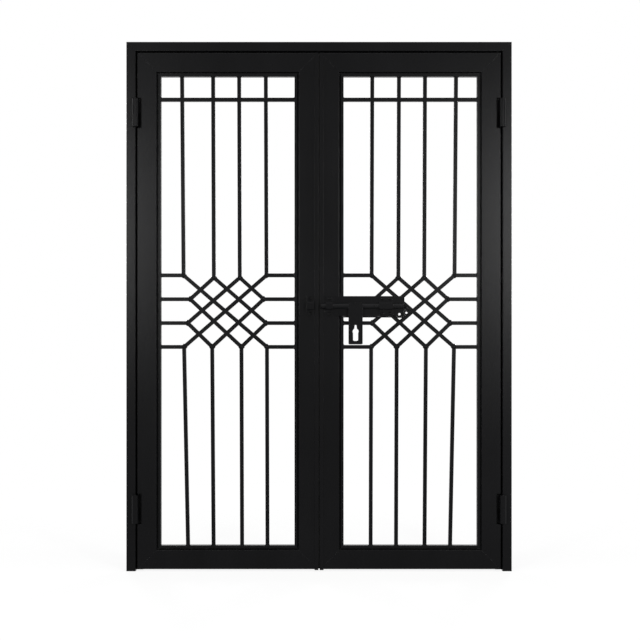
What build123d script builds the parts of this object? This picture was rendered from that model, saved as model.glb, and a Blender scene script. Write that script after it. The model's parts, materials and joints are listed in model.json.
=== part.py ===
from build123d import *
import math
import os

# A double-leaf steel security grille door in its own frame. Sizes are in millimetres.
# The origin is in the middle of the left post's closed foot, at floor level.
# +X runs along the doorway to the right, +Y goes through it away from the front, +Z is up.

# Fixed frame: two posts and a head of folded steel tube
frame_width = 1500.0
frame_height = 2060.0
frame_face = 36.0
frame_depth = 60.0
frame_wall = 2.0
frame_corner = 3.0
foot_plate = 3.0
stop_width = 24.0
stop_thickness = 6.0

# Running gaps around the leaves
side_gap = 7.0
head_gap = 7.0
meeting_gap = 7.0
floor_gap = 8.0
stop_gap = 5.5

# Leaf frame: a tube face with a set-back flange that carries the grille ring
leaf_depth = 38.0
leaf_face = 75.0
leaf_wall = 1.6
leaf_corner = 2.0
shadow_groove_width = 7.0
shadow_groove_depth = 14.0

# Grille: square bars in a flat-bar ring
ring_thickness = 10.0
ring_depth = 26.0
ring_setback = 2.0
bar_size = 15.0
bar_setback = 6.0
bar_bend = 45.0

# Places of the upright bars, from the ring's inner edge on the hinge side.
# The bars are bent by hand, so each one stands a little out of plumb.
bars_at_top = (81.0, 202.0, 303.5, 407.5)
bars_above_lattice = (87.0, 205.0, 306.0, 410.0)
bars_below_lattice = (89.0, 198.5, 312.5, 412.0)
bars_at_foot = (104.5, 204.0, 315.0, 414.0)
cross_bar_below_top = 181.0

# Woven middle: four rows, with the inner bends of the side bars
lattice_height = 1012.0
lattice_row_pitch = 93.0
lattice_peak_drop = 9.0
upper_side_bends = (113.0, 399.0)
lower_side_bends = (103.0, 408.5)

# Strip on each leaf's meeting edge
strip_gap = 5.2
strip_width = 15.0
strip_thickness = 3.0
strip_edge = 1.0
strip_below_leaf = 3.0

# Barrel hinges, a pin half on the post and a socket half on the leaf
hinge_from_leaf_end = 234.0
knuckle_radius = 13.0
knuckle_length = 55.0
knuckle_edge = 1.0
hinge_standoff = 0.5
hinge_seat_gap = 0.3
hinge_pin_radius = 6.0
hinge_pin_length = 42.0
hinge_pin_clearance = 0.05
hinge_pin_end_room = 2.0
hinge_saddle_width = 9.0
hinge_arm_offset = 6.5
hinge_arm_thickness = 6.0
hinge_arm_neck = 5.0
hinge_arm_setback = 18.0
pocket_width = 16.0
pocket_depth = 24.0
pocket_end_room = 4.0
pocket_block = 8.0

# Slide bolt on the right leaf, set out from the middle of the doorway
bolt_above_lattice = 20.0
bolt_radius = 10.0
bolt_tip_chamfer = 3.0
bolt_tip_from_middle = 5.0
bolt_end_from_middle = 330.0
bolt_plate_gap = 1.0
bolt_flat_depth = 2.0
plate_start_from_middle = 22.0
plate_end_from_middle = 332.0
plate_height = 77.0
plate_thickness = 4.0
plate_cut_width = 48.0
plate_cut_height = 22.0
plate_lug_size = 10.0
plate_lug_from_bend = 20.0
guide_wall = 3.6
guide_clearance = 0.4
keeper_clearance = 1.5
strap_bend = 5.0
guide_foot_thickness = 4.0
front_guide_from_middle = 27.0
front_guide_width = 27.0
rear_guide_from_middle = 233.0
rear_guide_width = 54.0
keeper_width = 26.0
keeper_plate_margin = 2.0
keeper_from_strip = 4.0
stop_pin_radius = 4.0
stop_pin_length = 9.0
stop_pin_clear = 5.0

# Hanging lock plate on the bolt
tongue_from_middle = 114.0
tongue_width = 55.0
tongue_rise = 12.0
tongue_drop = 149.0
tongue_thickness = 4.0
tongue_corner = 5.0
tongue_lip_depth = 12.0
slot_hole_radius = 11.5
slot_hole_drop = 99.0
slot_width = 19.5
slot_foot_drop = 135.5
slot_corner = 5.0
slot_neck_base = 13.0
slot_neck_tip = 6.5
slot_neck_drop = 74.0

# Planes and lines that everything is set from
middle_x = frame_width / 2 - frame_face / 2
middle_plane = Plane.YZ.offset(middle_x)
frame_left = middle_x - frame_width / 2
frame_front = -frame_depth / 2
post_inner = frame_left + frame_face
head_under = frame_height - frame_face
leaf_left = post_inner + side_gap
leaf_right = middle_x - meeting_gap / 2
leaf_bottom = floor_gap
leaf_top = head_under - head_gap
leaf_front = frame_front
leaf_back = leaf_front + leaf_depth
ring_left = leaf_left + leaf_face + shadow_groove_width
ring_right = leaf_right - leaf_face - shadow_groove_width
ring_bottom = leaf_bottom + leaf_face + shadow_groove_width
ring_top = leaf_top - leaf_face - shadow_groove_width
opening_left = ring_left + ring_thickness
opening_right = ring_right - ring_thickness
opening_bottom = ring_bottom + ring_thickness
opening_top = ring_top - ring_thickness
hinge_x = post_inner
hinge_y = frame_front - knuckle_radius - hinge_standoff
hinge_heights = (leaf_bottom + hinge_from_leaf_end, leaf_top - hinge_from_leaf_end)
arm_left = hinge_x + hinge_arm_offset
bolt_height = lattice_height + bolt_above_lattice
pocket_height = 2 * (knuckle_length + pocket_end_room)

RIGHT = Vector(1, 0, 0)
LEFT = Vector(-1, 0, 0)
UP = Vector(0, 0, 1)
DOWN = Vector(0, 0, -1)
UPRIGHT = (Align.CENTER, Align.CENTER, Align.MIN)
HANGING = (Align.CENTER, Align.CENTER, Align.MAX)

os.makedirs("parts", exist_ok=True)


def write(piece, name):
    """Labels one finished piece and writes it."""
    piece.part.label = name
    export_step(piece.part, f"parts/{name}.step")


def write_pair(left_piece, name):
    """Writes a piece of the left side and its mirror image on the right side."""
    write(left_piece, f"left_{name}")
    with BuildPart() as right_piece:
        mirror(left_piece.part, about=middle_plane)
    write(right_piece, f"right_{name}")


def tube(outline, corner, wall, start, travel, inward, length, cut_start, cut_end):
    """A hollow bar of the given section, its ends mitred where they are asked for."""
    with BuildPart() as bar:
        with BuildSketch(Plane(origin=start, x_dir=inward, z_dir=travel)) as section:
            with BuildLine():
                Polyline(*outline, close=True)
            make_face()
            fillet(section.vertices(), corner)
            offset(amount=-wall, kind=Kind.INTERSECTION, mode=Mode.SUBTRACT)
        extrude(amount=length)
        if cut_start:
            split(bisect_by=Plane(origin=start, z_dir=travel - inward), keep=Keep.TOP)
        if cut_end:
            far_end = start + travel * length
            split(bisect_by=Plane(origin=far_end, z_dir=-travel - inward), keep=Keep.TOP)
    return bar


# Fixed frame
frame_outline = ((0, 0), (frame_face, 0), (frame_face, frame_depth), (0, frame_depth))
post_foot = Vector(frame_left, frame_front, 0)
post_tube = tube(
    frame_outline, frame_corner, frame_wall, post_foot, UP, RIGHT, frame_height, False, True
)
with BuildPart() as left_post:
    add(post_tube.part)
    with BuildSketch():
        RectangleRounded(
            frame_face - frame_wall, frame_depth - frame_wall, frame_corner - frame_wall / 2
        )
    extrude(amount=foot_plate)
write_pair(left_post, "post")

head_start = Vector(frame_left, frame_front, frame_height)
head_rail = tube(
    frame_outline, frame_corner, frame_wall, head_start, RIGHT, DOWN, frame_width, True, True
)
write(head_rail, "head_rail")

# Stops behind the leaves, welded to the inner faces of the frame
stop_front = leaf_back + stop_gap
with BuildPart() as left_stop:
    with BuildSketch():
        with Locations((post_inner, stop_front)):
            Rectangle(stop_width, stop_thickness, align=(Align.MIN, Align.MIN))
    extrude(amount=head_under)
    split(
        bisect_by=Plane(origin=(post_inner, stop_front, head_under), z_dir=DOWN + LEFT),
        keep=Keep.TOP,
    )
write_pair(left_stop, "stop")

with BuildPart() as head_stop:
    with BuildSketch(Plane(origin=(post_inner, 0, head_under), x_dir=DOWN, z_dir=RIGHT)):
        with Locations((0, stop_front)):
            Rectangle(stop_width, stop_thickness, align=(Align.MIN, Align.MIN))
    extrude(amount=frame_width - 2 * frame_face)
    split(
        bisect_by=Plane(origin=(post_inner, stop_front, head_under), z_dir=UP + RIGHT),
        keep=Keep.TOP,
    )
    split(
        bisect_by=Plane(
            origin=(2 * middle_x - post_inner, stop_front, head_under), z_dir=UP + LEFT
        ),
        keep=Keep.TOP,
    )
write(head_stop, "head_stop")

# Leaf frame: one stepped section, mitred at the four corners
step = leaf_face + shadow_groove_width
leaf_outline = (
    (0, 0),
    (leaf_face, 0),
    (leaf_face, shadow_groove_depth),
    (step, shadow_groove_depth),
    (step, leaf_depth),
    (0, leaf_depth),
)
leaf_width = leaf_right - leaf_left
leaf_height = leaf_top - leaf_bottom


def leaf_tube(start, travel, inward, length):
    """One side of the leaf frame, mitred at both ends."""
    return tube(
        leaf_outline, leaf_corner, leaf_wall, start, travel, inward, length, True, True
    )


lower_outer = Vector(leaf_left, leaf_front, leaf_bottom)
upper_outer = Vector(leaf_left, leaf_front, leaf_top)
upper_meeting = Vector(leaf_right, leaf_front, leaf_top)
lower_meeting = Vector(leaf_right, leaf_front, leaf_bottom)

# The hinge stile is solid behind its hinge pockets, where the arms are welded
plain_stile = leaf_tube(lower_outer, UP, RIGHT, leaf_height)
with BuildPart() as left_hinge_stile:
    add(plain_stile.part)
    for height in hinge_heights:
        with Locations((leaf_left + leaf_wall / 2, leaf_front + leaf_wall / 2, height)):
            Box(
                pocket_width + pocket_block - leaf_wall / 2,
                leaf_depth - leaf_wall,
                pocket_height + 2 * pocket_block,
                align=(Align.MIN, Align.MIN, Align.CENTER),
            )
        with Locations((leaf_left, leaf_front, height)):
            Box(
                pocket_width,
                pocket_depth,
                pocket_height,
                align=(Align.MIN, Align.MIN, Align.CENTER),
                mode=Mode.SUBTRACT,
            )
write_pair(left_hinge_stile, "hinge_stile")

left_top_rail = leaf_tube(upper_outer, RIGHT, DOWN, leaf_width)
write_pair(left_top_rail, "top_rail")

left_meeting_stile = leaf_tube(upper_meeting, DOWN, LEFT, leaf_height)
write_pair(left_meeting_stile, "meeting_stile")

left_bottom_rail = leaf_tube(lower_meeting, LEFT, UP, leaf_width)
write_pair(left_bottom_rail, "bottom_rail")

# Meeting strip, a flat bar with eased front edges
with BuildPart() as left_meeting_strip:
    with BuildSketch(Plane.XY.offset(leaf_bottom - strip_below_leaf)):
        with Locations((middle_x - strip_gap / 2, leaf_front)):
            Rectangle(strip_width, strip_thickness, align=(Align.MAX, Align.MAX))
    extrude(amount=leaf_height + strip_below_leaf)
    front_face = left_meeting_strip.faces().sort_by(Axis.Y)[0]
    fillet(front_face.edges().filter_by(Axis.Z), strip_edge)
write_pair(left_meeting_strip, "meeting_strip")

# Grille: the woven lattice and its ring are one welded piece
row_heights = [lattice_height + lattice_row_pitch * share for share in (1.5, 0.5, -0.5, -1.5)]
peak_height = row_heights[0] - lattice_peak_drop
cross_bar_height = leaf_top - cross_bar_below_top
bend_overrun = bar_size / 2 * math.tan(math.radians(bar_bend / 2))
ring_middle = ring_thickness / 2


def lattice_runs():
    """The straight runs of bar in the left leaf, as pairs of (x, z) points."""
    left_end = opening_left - ring_middle
    right_end = opening_right + ring_middle
    top_end = opening_top + ring_middle
    foot_end = opening_bottom - ring_middle
    top = [(opening_left + place, top_end) for place in bars_at_top]
    foot = [(opening_left + place, foot_end) for place in bars_at_foot]
    node_heights = (row_heights[0], peak_height, peak_height, row_heights[0])
    above = [
        (opening_left + place, height)
        for place, height in zip(bars_above_lattice, node_heights)
    ]
    below = [(opening_left + place, row_heights[3]) for place in bars_below_lattice]
    upper_left, upper_right = [
        (opening_left + place, row_heights[1]) for place in upper_side_bends
    ]
    lower_left, lower_right = [
        (opening_left + place, row_heights[2]) for place in lower_side_bends
    ]
    runs = list(zip(top, above)) + list(zip(below, foot))
    for inner in (above[0], upper_left, lower_left, below[0]):
        runs.append(((left_end, inner[1]), inner))
    for inner in (above[3], upper_right, lower_right, below[3]):
        runs.append((inner, (right_end, inner[1])))
    runs.append(((left_end, cross_bar_height), (right_end, cross_bar_height)))
    runs += [(above[0], below[3]), (above[1], lower_right), (above[2], upper_right)]
    runs += [(upper_left, below[2]), (lower_left, below[1])]
    runs += [(above[3], below[0]), (above[2], lower_left), (above[1], upper_left)]
    runs += [(upper_right, below[1]), (lower_right, below[2])]
    return runs


ring_front = leaf_front + ring_setback
bar_front = leaf_front + bar_setback
with BuildPart() as left_grille:
    with BuildSketch(Plane.XZ.offset(-bar_front - bar_size)):
        for start, end in lattice_runs():
            run = math.hypot(end[0] - start[0], end[1] - start[1])
            tilt = math.degrees(math.atan2(end[1] - start[1], end[0] - start[0]))
            with Locations(((start[0] + end[0]) / 2, (start[1] + end[1]) / 2)):
                Rectangle(run + 2 * bend_overrun, bar_size, rotation=tilt)
    extrude(amount=bar_size)
    with BuildSketch(Plane.XZ.offset(-ring_front - ring_depth)):
        with Locations(((ring_left + ring_right) / 2, (ring_bottom + ring_top) / 2)):
            Rectangle(ring_right - ring_left, ring_top - ring_bottom)
            Rectangle(
                opening_right - opening_left,
                opening_top - opening_bottom,
                mode=Mode.SUBTRACT,
            )
    extrude(amount=ring_depth)
write_pair(left_grille, "grille")

# Hinges: the post half has the pin, the leaf half a socket and a cranked arm
for height, place in zip(hinge_heights, ("lower", "upper")):
    with BuildPart() as left_pin_half:
        with Locations((hinge_x, hinge_y, height)):
            Cylinder(knuckle_radius, knuckle_length, align=HANGING)
        low_rim = left_pin_half.faces().sort_by(Axis.Z)[0].edges()
        chamfer(low_rim, knuckle_edge)
        with Locations((hinge_x, hinge_y, height)):
            Cylinder(hinge_pin_radius, hinge_pin_length, align=UPRIGHT)
        with Locations((post_inner - frame_corner, hinge_y, height)):
            Box(
                hinge_saddle_width,
                frame_front - hinge_y,
                knuckle_length - knuckle_edge,
                align=(Align.MAX, Align.MIN, Align.MAX),
            )
    write_pair(left_pin_half, f"{place}_hinge_pin_half")

    socket_bottom = height + hinge_seat_gap
    arm_front = leaf_front + hinge_arm_setback
    with BuildPart() as left_socket_half:
        with Locations((hinge_x, hinge_y, socket_bottom)):
            Cylinder(knuckle_radius, knuckle_length, align=UPRIGHT)
        cap_rim = left_socket_half.faces().sort_by(Axis.Z)[-1].edges()
        chamfer(cap_rim, knuckle_edge)
        with BuildSketch(Plane.XY.offset(socket_bottom)):
            with BuildLine():
                Polyline(
                    (arm_left, hinge_y),
                    (arm_left + hinge_arm_neck, hinge_y),
                    (arm_left + hinge_arm_neck, arm_front),
                    (leaf_left + pocket_width, arm_front),
                    (leaf_left + pocket_width, arm_front + hinge_arm_thickness),
                    (arm_left, arm_front + hinge_arm_thickness),
                    close=True,
                )
            make_face()
        extrude(amount=knuckle_length - knuckle_edge)
        with Locations((hinge_x, hinge_y, socket_bottom)):
            Cylinder(
                hinge_pin_radius + hinge_pin_clearance,
                hinge_pin_length + hinge_pin_end_room,
                align=UPRIGHT,
                mode=Mode.SUBTRACT,
            )
    write_pair(left_socket_half, f"{place}_hinge_socket_half")

# Slide bolt: the plates, then the straps, then the bolt and what hangs on it
plate_front = leaf_front - plate_thickness
bolt_y = plate_front - bolt_plate_gap - bolt_radius
plate_start = middle_x + plate_start_from_middle
plate_end = middle_x + plate_end_from_middle
keeper_end = middle_x - strip_gap / 2 - strip_width - keeper_from_strip


def strap(start_x, width, clearance):
    """A pressed strap over the bolt, with two feet flat on the plate behind it."""
    inner = bolt_radius + clearance
    rise = plate_front - bolt_y + inner
    with BuildPart() as saddle:
        with BuildSketch(Plane.YZ.offset(start_x)) as section:
            with Locations((plate_front, bolt_height)):
                Rectangle(
                    rise + guide_wall, 2 * (inner + guide_wall), align=(Align.MAX, Align.CENTER)
                )
            fillet(section.vertices().sort_by(Axis.X)[:2], strap_bend)
            with Locations((plate_front, bolt_height)):
                Rectangle(
                    guide_foot_thickness, plate_height, align=(Align.MAX, Align.CENTER)
                )
                Rectangle(
                    rise, 2 * inner, align=(Align.MAX, Align.CENTER), mode=Mode.SUBTRACT
                )
        extrude(amount=width)
    return saddle


with BuildPart() as lock_back_plate:
    with BuildSketch(Plane.XZ.offset(-leaf_front)):
        with Locations((plate_start, bolt_height)):
            Rectangle(plate_end - plate_start, plate_height, align=(Align.MIN, Align.CENTER))
        plate_foot = bolt_height - plate_height / 2
        with BuildLine():
            Polyline(
                (plate_end, plate_foot),
                (plate_end, plate_foot + plate_cut_height),
                (plate_end - plate_cut_width, plate_foot),
                close=True,
            )
        make_face(mode=Mode.SUBTRACT)
    extrude(amount=plate_thickness)
    lug_x = 2 * middle_x - opening_left - upper_side_bends[1] - plate_lug_from_bend
    with Locations((lug_x, leaf_front, row_heights[1])):
        Box(
            plate_lug_size,
            bar_setback,
            plate_lug_size,
            align=(Align.CENTER, Align.MIN, Align.CENTER),
        )
write(lock_back_plate, "lock_back_plate")

with BuildPart() as keeper_plate:
    with Locations((keeper_end + keeper_plate_margin, leaf_front, bolt_height)):
        Box(
            keeper_width + 2 * keeper_plate_margin,
            plate_thickness,
            plate_height,
            align=(Align.MAX, Align.MAX, Align.CENTER),
        )
write(keeper_plate, "keeper_plate")

write(strap(keeper_end - keeper_width, keeper_width, keeper_clearance), "keeper")
front_guide = strap(
    middle_x + front_guide_from_middle, front_guide_width, guide_clearance
)
write(front_guide, "front_guide")
rear_guide = strap(middle_x + rear_guide_from_middle, rear_guide_width, guide_clearance)
write(rear_guide, "rear_guide")

# Bolt rod, milled flat where the lock plate is welded on
rod_start = middle_x + bolt_tip_from_middle
rod_end = middle_x + bolt_end_from_middle
tongue_left = middle_x + tongue_from_middle
flat_y = bolt_y - bolt_radius + bolt_flat_depth
with BuildPart() as bolt_rod:
    with BuildSketch(Plane.YZ.offset(rod_start)):
        with Locations((bolt_y, bolt_height)):
            Circle(bolt_radius)
    extrude(amount=rod_end - rod_start)
    chamfer(bolt_rod.edges().filter_by(GeomType.CIRCLE), bolt_tip_chamfer)
    with Locations((tongue_left, flat_y, bolt_height)):
        Box(
            tongue_width,
            bolt_flat_depth,
            2 * bolt_radius,
            align=(Align.MIN, Align.MAX, Align.CENTER),
            mode=Mode.SUBTRACT,
        )
    pin_x = middle_x + rear_guide_from_middle - stop_pin_clear - stop_pin_radius
    pin_root = Plane(origin=(pin_x, bolt_y, bolt_height), z_dir=(0, -1, 0))
    with BuildSketch(pin_root):
        Circle(stop_pin_radius)
    extrude(amount=bolt_radius + stop_pin_length)
write(bolt_rod, "bolt_rod")

# Lock plate with a keyhole slot for a padlock, its foot turned back
slot_x = tongue_left + tongue_width / 2
slot_hole_z = bolt_height - slot_hole_drop
with BuildPart() as hasp_tongue:
    with BuildSketch(Plane.XZ.offset(-flat_y)) as tongue_face:
        with Locations((tongue_left, bolt_height - tongue_drop)):
            Rectangle(tongue_width, tongue_drop + tongue_rise, align=(Align.MIN, Align.MIN))
        fillet(tongue_face.vertices(), tongue_corner)
        with Locations((slot_x, slot_hole_z)):
            Circle(slot_hole_radius, mode=Mode.SUBTRACT)
        with Locations((slot_x, (slot_hole_z + bolt_height - slot_foot_drop) / 2)):
            RectangleRounded(
                slot_width, slot_foot_drop - slot_hole_drop, slot_corner, mode=Mode.SUBTRACT
            )
        with BuildLine():
            Polyline(
                (slot_x - slot_neck_base / 2, slot_hole_z),
                (slot_x + slot_neck_base / 2, slot_hole_z),
                (slot_x + slot_neck_tip / 2, bolt_height - slot_neck_drop),
                (slot_x - slot_neck_tip / 2, bolt_height - slot_neck_drop),
                close=True,
            )
        make_face(mode=Mode.SUBTRACT)
    extrude(amount=tongue_thickness)
    with Locations((slot_x, flat_y, bolt_height - tongue_drop)):
        Box(
            tongue_width - 2 * tongue_corner,
            tongue_lip_depth,
            tongue_thickness,
            align=(Align.CENTER, Align.MIN, Align.MIN),
        )
write(hasp_tongue, "hasp_tongue")
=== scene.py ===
"""Finish, small pieces and stage for a double security grille door.

All places are in metres in the door's own frame: x along the doorway, y through it away
from the front, z up, with the origin under the middle of the left post.
"""

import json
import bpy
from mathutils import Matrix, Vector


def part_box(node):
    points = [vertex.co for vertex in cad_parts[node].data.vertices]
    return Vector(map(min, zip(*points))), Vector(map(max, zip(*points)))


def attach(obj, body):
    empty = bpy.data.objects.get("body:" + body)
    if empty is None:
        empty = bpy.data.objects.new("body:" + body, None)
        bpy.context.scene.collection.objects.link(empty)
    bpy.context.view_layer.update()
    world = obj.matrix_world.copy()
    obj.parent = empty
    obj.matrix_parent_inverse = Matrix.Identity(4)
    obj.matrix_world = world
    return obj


bl_info = {
    "name": "Security grille door",
    "version": (1, 0, 0),
    "blender": (4, 5, 0),
    "location": "3D View > Sidebar > Grille door",
    "description": "Black powder coat, welds, bolts and a plain studio for a steel grille door",
    "category": "Object",
}

import bmesh
import bpy
import numpy as np
from bpy.props import FloatProperty, FloatVectorProperty, PointerProperty
from mathutils import Vector

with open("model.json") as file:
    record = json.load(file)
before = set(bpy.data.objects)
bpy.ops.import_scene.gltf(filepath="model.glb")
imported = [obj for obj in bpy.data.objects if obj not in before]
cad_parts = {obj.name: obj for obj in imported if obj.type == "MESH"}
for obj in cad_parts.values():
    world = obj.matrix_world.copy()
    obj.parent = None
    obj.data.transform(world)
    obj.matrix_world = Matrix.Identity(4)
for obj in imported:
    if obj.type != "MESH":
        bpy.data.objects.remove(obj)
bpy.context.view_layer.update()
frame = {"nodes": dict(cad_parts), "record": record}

MIDDLE_X = (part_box("left_post")[0].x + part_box("right_post")[1].x) / 2
FRAME_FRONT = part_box("left_post")[0].y
LEAF_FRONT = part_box("left_top_rail")[0].y
KNUCKLE_RADIUS = 0.013
HINGE_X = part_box("left_upper_hinge_pin_half")[0].x + KNUCKLE_RADIUS
RING_WALL = 0.010  # the flat ring round each grille
BAR_SETBACK = 0.006  # from the leaf's face back to the grille's bars

SLOT_OF = {entry["node"]: entry["material_slot"] for entry in frame["record"]["subparts"]}
TUBE_NAMES = ("hinge_stile", "meeting_stile", "top_rail", "bottom_rail")

COAT_SPECULAR = 0.06
RUBBER_SPECULAR = 0.05
WORN_COLOUR = (0.16, 0.16, 0.165)
ROD_SHADE, ROD_LIFT = (0.002, 0.002, 0.0022), (0.006, 0.006, 0.0065)
RUBBER_SHADE, RUBBER_LIFT = (0.006, 0.006, 0.006), (0.014, 0.014, 0.014)
GRAIN_HEIGHT = 0.0002  # how far a bump of the coat or of the rubber stands out

# Shader maths


class Value:
    """A shader socket that can be added, multiplied and compared like a number."""

    def __init__(self, finish, socket):
        self.finish = finish
        self.socket = socket

    def _math(self, operation, first, second):
        node = self.finish.node("ShaderNodeMath", {"operation": operation}, {0: first, 1: second})
        return Value(self.finish, node.outputs[0])

    def __add__(self, other):
        return self._math("ADD", self, other)

    __radd__ = __add__

    def __mul__(self, other):
        return self._math("MULTIPLY", self, other)

    def __sub__(self, other):
        return self._math("SUBTRACT", self, other)

    def __rsub__(self, other):
        return self._math("SUBTRACT", other, self)

    def high(self, other):
        return self._math("MAXIMUM", self, other)

    def low(self, other):
        return self._math("MINIMUM", self, other)


class Finish:
    """The node tree of a material or a world, with a method that makes any node."""

    def __init__(self, owner):
        owner.use_nodes = True
        self.owner = owner
        self.tree = owner.node_tree
        self.output = next(node for node in self.tree.nodes if node.type.startswith("OUTPUT"))
        self.shader = self.output.inputs["Surface"].links[0].from_node

    def node(self, kind, settings=None, inputs=None):
        """Makes a node, and sets or joins its inputs, given by name or number."""
        made = self.tree.nodes.new(kind)
        for key, setting in (settings or {}).items():
            setattr(made, key, setting)
        for key, given in (inputs or {}).items():
            self.join(given, made.inputs[key])
        return made

    def join(self, given, socket):
        if isinstance(given, Value):
            given = given.socket
        if isinstance(given, bpy.types.NodeSocket):
            self.tree.links.new(given, socket)
        elif isinstance(given, (tuple, list)) and len(given) == 3 and socket.type == "RGBA":
            socket.default_value = (*given, 1)
        else:
            socket.default_value = given

    def value(self, socket):
        return Value(self, socket)

    def set(self, **inputs):
        """Sets or joins sockets of the main shader, by their names with underscores."""
        for key, given in inputs.items():
            self.join(given, self.shader.inputs[key.replace("_", " ")])

    def place(self, stretch=(1, 1, 1)):
        """Object coordinates, stretched by a factor along each axis."""
        spot = self.node("ShaderNodeTexCoord").outputs["Object"]
        return self.node("ShaderNodeMapping", None, {"Vector": spot, "Scale": stretch}).outputs[0]

    def noise(self, where, scale, detail=2.0, roughness=0.5):
        made = self.node(
            "ShaderNodeTexNoise",
            None,
            {"Vector": where, "Scale": scale, "Detail": detail, "Roughness": roughness},
        )
        return self.value(made.outputs["Fac"])

    def direct(self):
        """1 on rays from the camera, from a mirror or through glass, and 0 on light."""
        path = self.node("ShaderNodeLightPath")
        kinds = ("Is Camera Ray", "Is Glossy Ray", "Is Transmission Ray")
        camera, glossy, through = (self.value(path.outputs[kind]) for kind in kinds)
        return camera.high(glossy).high(through)

    def ramp(self, given, *stops):
        """A grey ramp between two stops, each a place and a shade."""
        made = self.node("ShaderNodeValToRGB", None, {"Fac": given})
        for element, (place, shade) in zip(made.color_ramp.elements, stops):
            element.position = place
            element.color = (shade, shade, shade, 1)
        return self.value(made.outputs["Color"])

    def tint(self, mask, first, second):
        """A colour that goes from the first to the second as the mask goes from 0 to 1."""
        made = self.node(
            "ShaderNodeMix",
            {"data_type": "RGBA"},
            {"Factor": mask, "A": first, "B": second},
        )
        return made.outputs["Result"]

    def bump(self, strength, height, **inputs):
        return self.node(
            "ShaderNodeBump",
            None,
            {"Strength": strength, "Distance": GRAIN_HEIGHT, "Height": height, **inputs},
        ).outputs[0]


def powder_coat(name, shade, lift, gloss, edge_wear, edge_radius):
    """Black powder coat: fine orange peel, cloudy tone, upright smears and rubbed edges."""
    finish = Finish(bpy.data.materials.new(name))
    spot = finish.place()
    cloud = finish.noise(spot, 2.3, 3.0)
    smear = finish.noise(finish.place((9, 9, 1.4)), 1.0, 4.0, 0.6)
    peel = finish.noise(spot, 620, 1.5)
    grit = finish.noise(spot, 2600, 0.0)
    # An edge shows where the rounded normal turns away from the true one
    soft = finish.node("ShaderNodeBevel", {"samples": 4}, {"Radius": edge_radius}).outputs[0]
    true = finish.node("ShaderNodeNewGeometry").outputs["Normal"]
    facing = finish.node("ShaderNodeVectorMath", {"operation": "DOT_PRODUCT"}, {0: soft, 1: true})
    edge = finish.ramp(1 - finish.value(facing.outputs["Value"]), (0.02, 0), (0.2, 1))
    patches = finish.ramp(finish.noise(spot, 55, 5.0, 0.7), (0.42, 0), (0.7, 1))
    worn = edge * patches * edge_wear
    mottle = (cloud * 0.6 + smear * 0.4).low(1.0)
    coat = finish.tint(finish.ramp(mottle, (0.3, 0), (0.7, 1)), shade, lift)
    finish.set(
        Base_Color=finish.tint(worn, coat, WORN_COLOUR),
        Roughness=gloss + (mottle - 0.5) * 0.10 + worn * 0.12,
        Specular_IOR_Level=COAT_SPECULAR,
        Normal=finish.bump(0.25, peel * 0.7 + grit * 0.3, Normal=soft),
    )
    return finish.owner


def rubber(name):
    """Dull black rubber with a faint grain."""
    finish = Finish(bpy.data.materials.new(name))
    spot = finish.place()
    grain = finish.noise(spot, 900, 2.0)
    finish.set(
        Base_Color=finish.tint(finish.noise(spot, 30, 3.0), RUBBER_SHADE, RUBBER_LIFT),
        Roughness=0.75 + (grain - 0.5) * 0.2,
        Specular_IOR_Level=RUBBER_SPECULAR,
        Normal=finish.bump(0.3, grain),
    )


# Surfaces


def angles(count):
    """Equal steps once round a circle."""
    return np.linspace(0, 2 * np.pi, count, endpoint=False)


def surface(x, y, z):
    """A grid of points from its three coordinates, which may be arrays or numbers."""
    return np.stack(np.broadcast_arrays(x, y, z), axis=-1)


def turned(radius, height, angle):
    """A grid turned about y: rings of the radius, with the height towards the front."""
    return surface(radius * np.cos(angle), -height, radius * np.sin(angle))


def copies(grid, centres):
    """The same grid at each of the centres."""
    return grid[None] + np.array(centres)[:, None, None]


def mirrored(grid):
    """The mirror image of a grid across the middle of the doorway."""
    flipped = np.array(grid)
    flipped[..., 0] = 2 * MIDDLE_X - flipped[..., 0]
    return flipped[..., ::-1, :]


def bead(start, end, side, out, size, ripple, rows=48, columns=12):
    """A weld bead between two points, as a grid of rows by columns.

    Each row is a ring of radius size in the plane of the vectors side and out. The radius
    is size times the fourth root of 1 minus t to the eighth, which rounds the ends, times
    1 plus ripple times the cosine of the run of overlapping puddles.
    """
    t = np.linspace(-0.995, 0.995, rows)[:, None]
    angle = angles(columns)[None]
    start, end, side, out = (np.asarray(v, float) for v in (start, end, side, out))
    length = np.linalg.norm(end - start)
    puddles = np.cos((t + 0.06 * np.cos(angle)) * np.pi * length / (size * 0.9))
    radius = size * (1 - t**8) ** 0.25 * (1 + ripple * puddles)
    middle = (start + end) / 2 + t[..., None] * (end - start) / 2
    spread = np.cos(angle)[..., None] * side + np.sin(angle)[..., None] * out
    return middle + radius[..., None] * spread


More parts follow.
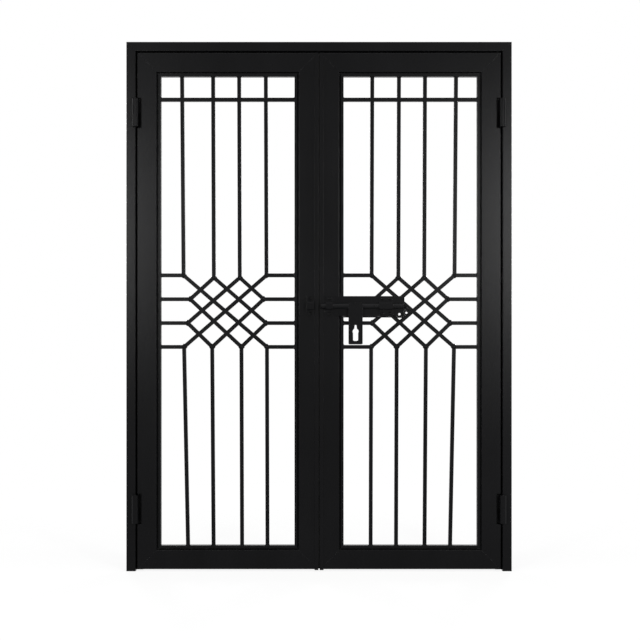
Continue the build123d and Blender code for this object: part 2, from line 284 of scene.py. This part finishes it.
def join_surfaces(name, grids, body, material, ring=False):
    """Makes one mesh from many grids of the same shape, whose columns close round.

    The first and last rows are closed by a fan to their middle, or joined to each other
    where the grid is a ring.
    """
    grids = np.asarray(grids, float)
    count, rows, columns = grids.shape[:3]
    points = grids.reshape(count, rows * columns, 3)
    index = np.arange(rows * columns).reshape(rows, columns)
    right = np.roll(index, -1, axis=1)
    quads = np.stack([index[:-1], right[:-1], right[1:], index[1:]], axis=-1).reshape(-1, 4)
    if ring:
        seam = np.stack([index[-1], right[-1], right[0], index[0]], axis=-1)
        groups = [np.concatenate([quads, seam])]
    else:
        low, high = rows * columns, rows * columns + 1
        low_fan = np.stack([right[0], index[0], np.full(columns, low)], axis=-1)
        high_fan = np.stack([index[-1], right[-1], np.full(columns, high)], axis=-1)
        groups = [quads, np.concatenate([low_fan, high_fan])]
        ends = [grids[:, row].mean(axis=1)[:, None] for row in (0, -1)]
        points = np.concatenate([points, *ends], axis=1)
    shift = (np.arange(count) * points.shape[1])[:, None, None]
    faces = []
    for group in groups:
        faces += (group[None] + shift).reshape(-1, group.shape[1]).tolist()
    mesh = bpy.data.meshes.new(name)
    mesh.from_pydata(points.reshape(-1, 3).tolist(), [], faces)
    mesh.polygons.foreach_set("use_smooth", np.ones(len(mesh.polygons), bool))
    shell = bmesh.new()
    shell.from_mesh(mesh)
    bmesh.ops.recalc_face_normals(shell, faces=shell.faces)
    shell.to_mesh(mesh)
    shell.free()
    mesh.materials.append(material)
    piece = bpy.data.objects.new(name, mesh)
    bpy.context.scene.collection.objects.link(piece)
    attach(piece, body)
    return piece


# Settings


class GrilleDoorSettings(bpy.types.PropertyGroup):
    """Sizes and colours of the finish and the small pieces."""

    coat_shade: FloatVectorProperty(
        name="Coat shade",
        description="Darker tone of the powder coat",
        subtype="COLOR",
        default=(0.0018, 0.0018, 0.0020),
        min=0,
        max=1,
    )
    coat_lift: FloatVectorProperty(
        name="Coat lift",
        description="Lighter tone of the powder coat",
        subtype="COLOR",
        default=(0.0034, 0.0034, 0.0038),
        min=0,
        max=1,
    )
    coat_roughness: FloatProperty(
        name="Coat roughness",
        description="Mean roughness of the powder coat",
        default=0.27,
        min=0,
        max=1,
    )
    edge_radius: FloatProperty(
        name="Edge radius",
        description="Apparent rounding of sharp coated edges",
        default=0.0012,
        unit="LENGTH",
    )
    tube_radius: FloatProperty(
        name="Tube edge radius",
        description="Apparent rounding of the rolled tubes' edges",
        default=0.0032,
        unit="LENGTH",
    )
    knot_radius: FloatProperty(
        name="Lattice weld radius",
        description="Reach of the weld where lattice bars cross",
        default=0.0112,
        unit="LENGTH",
    )
    bead_size: FloatProperty(
        name="Bead size",
        description="Radius of the weld beads",
        default=0.0022,
        unit="LENGTH",
    )
    bolt_head: FloatProperty(
        name="Screw head radius",
        description="Radius of the socket-head screws on the straps",
        default=0.0065,
        unit="LENGTH",
    )


class StageSettings(bpy.types.PropertyGroup):
    """The plain studio."""

    floor_shade: FloatProperty(
        name="Floor shade",
        description="Grey of the floor",
        default=0.86,
        min=0,
        max=1,
    )
    floor_glow: FloatProperty(
        name="Floor glow",
        description="White that the camera sees in the floor",
        default=0.85,
        min=0,
        max=1,
    )
    key_power: FloatProperty(
        name="Side lights",
        description="Power of the right front softbox",
        default=120.0,
        unit="POWER",
    )
    top_power: FloatProperty(
        name="Top light",
        description="Power of the softbox overhead",
        default=70.0,
        unit="POWER",
    )
    camera_distance: FloatProperty(
        name="Camera distance",
        description="From the camera to the door's front",
        default=5.6,
        unit="LENGTH",
    )


# Operators


class DOOR_OT_coat(bpy.types.Operator):
    """Makes the finishes and gives every steel piece its powder coat"""

    bl_idname = "grille_door.coat"
    bl_label = "Coat the steel"

    lock_edge = 0.0009
    lock_roughness = -0.04
    rod_roughness = 0.34

    def execute(self, context):
        door = context.scene.grille_door
        shade, lift, gloss = tuple(door.coat_shade), tuple(door.coat_lift), door.coat_roughness
        finishes = {
            "black_coat": powder_coat(
                "black_powder_coat", shade, lift, gloss, 0.10, door.edge_radius
            ),
            "lock_coat": powder_coat(
                "lock_powder_coat", shade, lift, gloss + self.lock_roughness, 0.6, self.lock_edge
            ),
            "bolt_steel": powder_coat(
                "rubbed_bolt_coat", ROD_SHADE, ROD_LIFT, self.rod_roughness, 0.5, self.lock_edge
            ),
        }
        rolled = powder_coat("rolled_tube_coat", shade, lift, gloss, 0.10, door.tube_radius)
        rubber("seal_rubber")
        for name, node in frame["nodes"].items():
            tube = name.endswith(TUBE_NAMES)
            node.data.materials.clear()
            node.data.materials.append(rolled if tube else finishes[SLOT_OF[name]])
        return {"FINISHED"}


class DOOR_OT_lattice_welds(bpy.types.Operator):
    """Puts a small ground weld at each crossing of the lattice bars"""

    bl_idname = "grille_door.lattice_welds"
    bl_label = "Weld the lattice"

    # Crossings of the left leaf, from its opening's hinge-side edge and from the floor
    knots = (
        (0.0870, 1.1515),
        (0.2050, 1.1425),
        (0.3060, 1.1425),
        (0.4100, 1.1515),
        (0.1130, 1.0585),
        (0.3990, 1.0585),
        (0.1030, 0.9655),
        (0.4085, 0.9655),
        (0.0890, 0.8725),
        (0.1985, 0.8725),
        (0.3125, 0.8725),
        (0.4120, 0.8725),
    )
    middle_depth = 0.007  # behind the bars' front
    bulge = 0.0088

    def execute(self, context):
        reach = context.scene.grille_door.knot_radius
        coat = bpy.data.materials["black_powder_coat"]
        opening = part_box("left_grille")[0].x + RING_WALL
        depth = LEAF_FRONT + BAR_SETBACK + self.middle_depth
        # A flattened ball: the sine of the polar angle is its reach and the cosine its bulge.
        # The reach swells four times round, towards the bars, and unevenly three times round.
        polar = np.linspace(0.06, np.pi - 0.06, 12)[:, None]
        angle = angles(24)[None]
        radius = reach * (1 + 0.10 * np.cos(4 * angle) + 0.05 * np.cos(3 * angle + 1))
        ball = turned(radius * np.sin(polar), self.bulge * np.cos(polar), angle)
        left = copies(ball, [(opening + across, depth, height) for across, height in self.knots])
        join_surfaces("left_lattice_welds", left, "left_leaf", coat)
        join_surfaces("right_lattice_welds", mirrored(left), "right_leaf", coat)
        return {"FINISHED"}


class DOOR_OT_ring_welds(bpy.types.Operator):
    """Lays a short bead across each bar where it meets the grille's ring"""

    bl_idname = "grille_door.ring_welds"
    bl_label = "Weld the bar ends"

    # Bar ends of the left leaf, from its opening's hinge-side edge, and heights of the rows
    at_top = (0.0810, 0.2020, 0.3035, 0.4075)
    at_foot = (0.1045, 0.2040, 0.3150, 0.4140)
    rows = (0.8725, 0.9655, 1.0585, 1.1515, 1.8360)
    depth = 0.0066  # behind the leaf's face
    half_length = 0.0098
    thickness = 1.3  # of a hinge's bead
    ripple = 0.1
    steps = 24

    def execute(self, context):
        size = context.scene.grille_door.bead_size * self.thickness
        coat = bpy.data.materials["black_powder_coat"]
        low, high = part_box("left_grille")
        left, right = low.x + RING_WALL, high.x - RING_WALL
        foot, top = low.z + RING_WALL, high.z - RING_WALL
        y, half = LEAF_FRONT + self.depth, self.half_length
        shape = (size, self.ripple, self.steps)
        beads = []
        for places, z, turn in ((self.at_top, top, 1), (self.at_foot, foot, 1)):
            for place in places:
                x = left + place
                beads.append(
                    bead((x - half, y, z), (x + half, y, z), (0, 0, turn), (0, -turn, 0), *shape)
                )
        for x in (left, right):
            for z in self.rows:
                beads.append(
                    bead((x, y, z - half), (x, y, z + half), (1, 0, 0), (0, 1, 0), *shape)
                )
        join_surfaces("left_ring_welds", beads, "left_leaf", coat)
        join_surfaces("right_ring_welds", mirrored(beads), "right_leaf", coat)
        return {"FINISHED"}


class DOOR_OT_hinge_welds(bpy.types.Operator):
    """Lays weld beads along the hinge saddles and arms"""

    bl_idname = "grille_door.hinge_welds"
    bl_label = "Weld the hinges"

    saddle_reach = 0.012  # from the hinge's axis to the saddle's outer edge
    arm_depth = 0.007  # in front of the arm's back
    arm_inset = 0.001
    foot_inset = 0.003
    end_inset = 0.004
    ripple = 0.12

    def upright(self, x, y, low, high, size):
        return bead((x, y, low), (x, y, high), (1, 0, 0), (0, -1, 0), size, self.ripple)

    def execute(self, context):
        size = context.scene.grille_door.bead_size
        coat = bpy.data.materials["black_powder_coat"]
        saddle, end = HINGE_X - self.saddle_reach, self.end_inset
        post_beads, leaf_beads = [], []
        for place in ("lower", "upper"):
            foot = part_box(f"left_{place}_hinge_pin_half")[0].z + self.foot_inset
            low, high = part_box(f"left_{place}_hinge_socket_half")
            wall, deep = high.x - self.arm_inset, high.y - self.arm_depth
            post_beads.append(self.upright(saddle, FRAME_FRONT, foot, low.z - end, size))
            leaf_beads.append(self.upright(wall, deep, low.z + end, high.z - end, size))
        for side, flip in (("left", np.array), ("right", mirrored)):
            welds, leaf = flip(leaf_beads), f"{side}_leaf"
            join_surfaces(f"{side}_post_hinge_welds", flip(post_beads), "frame", coat)
            join_surfaces(f"{side}_leaf_hinge_welds", welds, leaf, coat)
        return {"FINISHED"}


class DOOR_OT_strap_bolts(bpy.types.Operator):
    """Puts a socket-head screw on each foot of the bolt's straps"""

    bl_idname = "grille_door.strap_bolts"
    bl_label = "Bolt the straps"

    # The head's profile: from its seat up the rim, over the crown and down into its socket
    marks = (0.00, 0.20, 0.32, 0.45, 0.57, 0.66, 0.72, 0.94, 1.00)
    reach = (1.00, 1.00, 0.94, 0.78, 0.62, 0.54, 0.50, 0.46, 0.03)
    rise = (0.00, 0.40, 0.68, 0.90, 1.00, 0.99, 0.90, 0.25, 0.25)
    head_height = 0.0042
    foot_thickness = 0.004
    foot_offset = 0.0295  # from the strap's middle, up and down
    # Strap, its body, and its screws' places as shares of its width
    straps = (
        ("keeper", "left_leaf", (0.5,)),
        ("front_guide", "right_leaf", (0.5,)),
        ("rear_guide", "right_leaf", (0.22, 0.78)),
    )

    def execute(self, context):
        door = context.scene.grille_door
        coat = bpy.data.materials["lock_powder_coat"]
        s = np.linspace(0, 1, 33)[:, None]
        angle = angles(36)[None]
        # The socket's six sides show as a ripple of the radius on its wall
        sides = 1 + np.where((s > 0.7) & (s < 0.97), 0.07 * np.cos(6 * angle), 0)
        radius = door.bolt_head * np.interp(s, self.marks, self.reach) * sides
        head = turned(radius, self.head_height * np.interp(s, self.marks, self.rise), angle)
        for strap, body, columns in self.straps:
            low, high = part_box(strap)
            middle = (low.z + high.z) / 2
            centres = [
                (
                    low.x + share * (high.x - low.x),
                    high.y - self.foot_thickness,
                    middle + side * self.foot_offset,
                )
                for share in columns
                for side in (-1, 1)
            ]
            join_surfaces(f"{strap}_bolt_heads", copies(head, centres), body, coat)
        return {"FINISHED"}


class DOOR_OT_plate_eyes(bpy.types.Operator):
    """Welds a tab with two fixing eyes to the free end of the lock's back plate"""

    bl_idname = "grille_door.plate_eyes"
    bl_label = "Add the plate's eyes"

    # Centre from the middle of the doorway, height, hole radius and rim width
    eyes = ((0.3126, 1.0000, 0.0046, 0.0069), (0.3398, 1.0054, 0.0042, 0.0050))
    # Start and end of the plate's rolled lower edge and of each web, and half its width
    webs = (
        ((0.0900, 0.9905), (0.2830, 0.9905), 0.0034),
        ((0.2950, 1.0060), (0.3008, 0.9900), 0.0072),
        ((0.3200, 0.9990), (0.3330, 1.0025), 0.0100),
        ((0.3120, 1.0122), (0.3390, 1.0152), 0.0055),
        ((0.2995, 0.9902), (0.3285, 0.9902), 0.0044),
        ((0.3300, 1.0290), (0.3525, 1.0120), 0.0072),
    )
    middle_depth = 0.0020  # behind the plate's face
    half_thickness = 0.0019
    squareness = 0.4

    def execute(self, context):
        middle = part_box("lock_back_plate")[0].y + self.middle_depth
        # The section is a squared circle: the cosine and sine to the power of 0.4. An eye
        # takes it round a circle, and a web along a straight line.
        t = angles(20)
        wide = np.sign(np.cos(t)) * abs(np.cos(t)) ** self.squareness
        deep = np.sign(np.sin(t)) * abs(np.sin(t)) ** self.squareness
        y = middle + self.half_thickness * deep
        place = np.array(self.eyes)[:, :, None, None]
        turn = angles(48)[None, :, None]
        radius = place[:, 2] + place[:, 3] * (1 + wide) / 2
        rims = surface(
            MIDDLE_X + place[:, 0] + radius * np.cos(turn),
            y,
            place[:, 1] + radius * np.sin(turn),
        )
        start, end, width = (np.array([web[k] for web in self.webs]) for k in range(3))
        run = end - start
        along = run / np.linalg.norm(run, axis=1)[:, None]
        across = width[:, None, None] * wide
        s = np.linspace(0, 1, 4)[None, :, None]
        x, z = (start[:, k, None, None] + s * run[:, k, None, None] for k in (0, 1))
        webs = surface(
            MIDDLE_X + x - across * along[:, 1, None, None],
            y,
            z + across * along[:, 0, None, None],
        )
        coat = bpy.data.materials["lock_powder_coat"]
        join_surfaces("plate_eyes", rims, "right_leaf", coat, ring=True)
        join_surfaces("plate_webs", webs, "right_leaf", coat)
        return {"FINISHED"}


class DOOR_OT_meeting_lip(bpy.types.Operator):
    """Adds the rubber lip behind the meeting line"""

    bl_idname = "grille_door.meeting_lip"
    bl_label = "Seal the meeting line"

    reach = 0.0030  # past the middle of the doorway
    overlap = 0.001  # into the stile
    depth = 0.0055  # behind the leaf's face
    half_thickness = 0.0016
    end_inset = 0.002

    def execute(self, context):
        low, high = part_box("left_meeting_stile")
        near, far = high.x - self.overlap, MIDDLE_X + self.reach
        # An ellipse taken straight up, from the stile's foot to its head
        t = np.linspace(0, 1, 60)[:, None]
        turn = angles(24)[None]
        grid = surface(
            (far + near) / 2 + (far - near) / 2 * np.cos(turn),
            LEAF_FRONT + self.depth + self.half_thickness * np.sin(turn),
            low.z + self.end_inset + t * (high.z - low.z - 2 * self.end_inset),
        )
        seal = bpy.data.materials["seal_rubber"]
        join_surfaces("meeting_lip", grid[None], "left_leaf", seal)
        return {"FINISHED"}


class DOOR_OT_stop_buffers(bpy.types.Operator):
    """Sets small rubber buffers on the stops, which the leaves close on"""

    bl_idname = "grille_door.stop_buffers"
    bl_label = "Buffer the stops"

    heights = (0.35, 1.03, 1.70)
    radius = 0.0065
    crown = 0.0046
    inset = 0.004  # from the stop's middle towards the opening

    def execute(self, context):
        low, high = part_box("left_stop")
        # A quarter ellipse from the stop's face out to the crown, turned round
        s = np.linspace(0, 1, 12)[:, None]
        radius = self.radius * np.cos(s * np.pi / 2 * 0.97) ** 0.6
        dome = turned(radius, self.crown * np.sin(s * np.pi / 2), angles(28)[None])
        x = (low.x + high.x) / 2 + self.inset
        left = copies(dome, [(x, low.y, z) for z in self.heights])
        domes = np.concatenate([left, mirrored(left)])
        seal = bpy.data.materials["seal_rubber"]
        join_surfaces("stop_buffers", domes, "frame", seal)
        return {"FINISHED"}


class DOOR_OT_stage(bpy.types.Operator):
    """Sets the floor, the lights, the white backdrop and the camera"""

    bl_idname = "grille_door.stage"
    bl_label = "Set the stage"

    floor_reach = 9.0
    floor_level = -0.0005
    # Name, place and aim from the middle of the doorway, size, and share of the side power
    softboxes = (
        ("left_softbox", (-1.8, -4.3, 1.62), (-0.6, 0, 1.35), (0.7, 1.1), 0.7),
        ("right_softbox", (1.8, -4.3, 1.62), (0.6, 0, 1.35), (0.7, 1.1), 1.0),
        ("rear_left_softbox", (-1.8, 4.3, 1.8), (-0.3, 0, 1.2), (0.9, 1.4), 0.8),
        ("rear_right_softbox", (1.8, 4.3, 1.8), (0.3, 0, 1.2), (0.9, 1.4), 0.8),
        ("left_strip", (-4.6, -0.9, 1.6), (0, 0, 1.1), (0.5, 1.8), 0.8),
        ("right_strip", (4.6, -0.9, 1.6), (0, 0, 1.1), (0.5, 1.8), 0.8),
    )
    ambient = 0.12
    sensor_width = 36
    view_width = 2.490  # of the picture, at the door's front
    camera_place = (0.0037, 0.9775)  # from the middle of the doorway, and height

    def floor(self, stage):
        """A flat disc of growing rings at floor level, which fades into the backdrop."""
        reach = self.floor_reach * np.linspace(0, 1, 40)[:, None]
        angle = angles(96)[None]
        grid = surface(
            MIDDLE_X + reach * np.cos(angle), reach * np.sin(angle), self.floor_level
        )
        index = np.arange(grid.shape[0] * grid.shape[1]).reshape(grid.shape[:2])
        right = np.roll(index, -1, axis=1)
        quads = np.stack([index[:-1], index[1:], right[1:], right[:-1]], axis=-1).reshape(-1, 4)
        mesh = bpy.data.meshes.new("studio_floor")
        mesh.from_pydata(grid.reshape(-1, 3).tolist(), [], quads.tolist())
        mesh.materials.append(self.floor_finish(stage))
        floor = bpy.data.objects.new("studio_floor", mesh)
        bpy.context.scene.collection.objects.link(floor)

    def floor_finish(self, stage):
        """Pale matt floor that glows for the camera and clears with distance."""
        finish = Finish(bpy.data.materials.new("pale_floor"))
        spot = finish.place()
        tone = finish.noise(spot, 1.5, 2.0)
        shade = stage.floor_shade
        finish.set(
            Base_Color=finish.tint(tone, (shade,) * 3, (shade + 0.01,) * 3),
            Roughness=0.9,
            Specular_IOR_Level=0.1,
        )
        away = finish.node(
            "ShaderNodeVectorMath",
            {"operation": "DISTANCE"},
            {0: spot, 1: (MIDDLE_X, 0, 0)},
        )
        fade = finish.ramp(finish.value(away.outputs["Value"]) * 0.2, (0.25, 0), (0.62, 1))
        clear = finish.node("ShaderNodeBsdfTransparent").outputs[0]
        glow = finish.node("ShaderNodeEmission", None, {"Strength": 1.0}).outputs[0]
        lit = finish.node(
            "ShaderNodeMixShader",
            None,
            {0: finish.direct() * stage.floor_glow, 1: finish.shader.outputs[0], 2: glow},
        )
        mix = finish.node("ShaderNodeMixShader", None, {0: fade, 1: lit.outputs[0], 2: clear})
        finish.join(mix.outputs[0], finish.output.inputs["Surface"])
        return finish.owner

    def lamp(self, name, place, aim, size, power):
        """A rectangular light that faces a point."""
        data = bpy.data.lights.new(name, "AREA")
        data.shape = "RECTANGLE"
        data.size, data.size_y = size
        data.energy = power
        lamp = bpy.data.objects.new(name, data)
        start, end = (Vector((MIDDLE_X + x, y, z)) for x, y, z in (place, aim))
        lamp.location = start
        lamp.visible_camera = False
        lamp.rotation_euler = (end - start).to_track_quat("-Z", "Y").to_euler()
        bpy.context.scene.collection.objects.link(lamp)

    def backdrop(self):
        """A world that is white to the camera and in reflections, and soft grey as light."""
        world = bpy.data.worlds.new("white_studio")
        bpy.context.scene.world = world
        sky = Finish(world)
        sky.set(Color=(1, 1, 1), Strength=self.ambient + sky.direct() * (1 - self.ambient))

    def camera(self, distance):
        """A level camera before the door, whose lens takes in the view's width."""
        data = bpy.data.cameras.new("camera")
        data.sensor_width = self.sensor_width
        data.lens = self.sensor_width * distance / self.view_width
        camera = bpy.data.objects.new("camera", data)
        across, height = self.camera_place
        camera.location = (MIDDLE_X + across, FRAME_FRONT - distance, height)
        camera.rotation_euler = (np.pi / 2, 0, 0)
        bpy.context.scene.collection.objects.link(camera)
        bpy.context.scene.camera = camera

    def execute(self, context):
        stage = context.scene.grille_stage
        self.floor(stage)
        self.backdrop()
        for name, place, aim, size, share in self.softboxes:
            self.lamp(name, place, aim, size, stage.key_power * share)
        self.lamp("top_softbox", (0, -1.4, 4.4), (0, 0, 0), (3.0, 2.0), stage.top_power)
        self.camera(stage.camera_distance)
        context.scene.view_settings.view_transform = "Standard"
        return {"FINISHED"}


class DOOR_PT_panel(bpy.types.Panel):
    """Lists the settings and the steps in the sidebar"""

    bl_idname = "DOOR_PT_panel"
    bl_label = "Grille door"
    bl_space_type = "VIEW_3D"
    bl_region_type = "UI"
    bl_category = "Grille door"

    def draw(self, context):
        for settings in (context.scene.grille_door, context.scene.grille_stage):
            for name in settings.bl_rna.properties.keys():
                if name not in ("rna_type", "name"):
                    self.layout.prop(settings, name)
        for step in STEPS:
            self.layout.operator(step.bl_idname)


STEPS = (
    DOOR_OT_coat,
    DOOR_OT_lattice_welds,
    DOOR_OT_ring_welds,
    DOOR_OT_hinge_welds,
    DOOR_OT_strap_bolts,
    DOOR_OT_plate_eyes,
    DOOR_OT_meeting_lip,
    DOOR_OT_stop_buffers,
    DOOR_OT_stage,
)
CLASSES = (GrilleDoorSettings, StageSettings, *STEPS, DOOR_PT_panel)


def register():
    for kind in CLASSES:
        bpy.utils.register_class(kind)
    bpy.types.Scene.grille_door = PointerProperty(type=GrilleDoorSettings)
    bpy.types.Scene.grille_stage = PointerProperty(type=StageSettings)


def unregister():
    del bpy.types.Scene.grille_door
    del bpy.types.Scene.grille_stage
    for kind in reversed(CLASSES):
        bpy.utils.unregister_class(kind)


def main():
    """Registers the add-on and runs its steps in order."""
    register()
    steps = bpy.ops.grille_door
    steps.coat()
    steps.lattice_welds()
    steps.ring_welds()
    steps.hinge_welds()
    steps.strap_bolts()
    steps.plate_eyes()
    steps.meeting_lip()
    steps.stop_buffers()
    steps.stage()


if __name__ == "__main__":
    main()
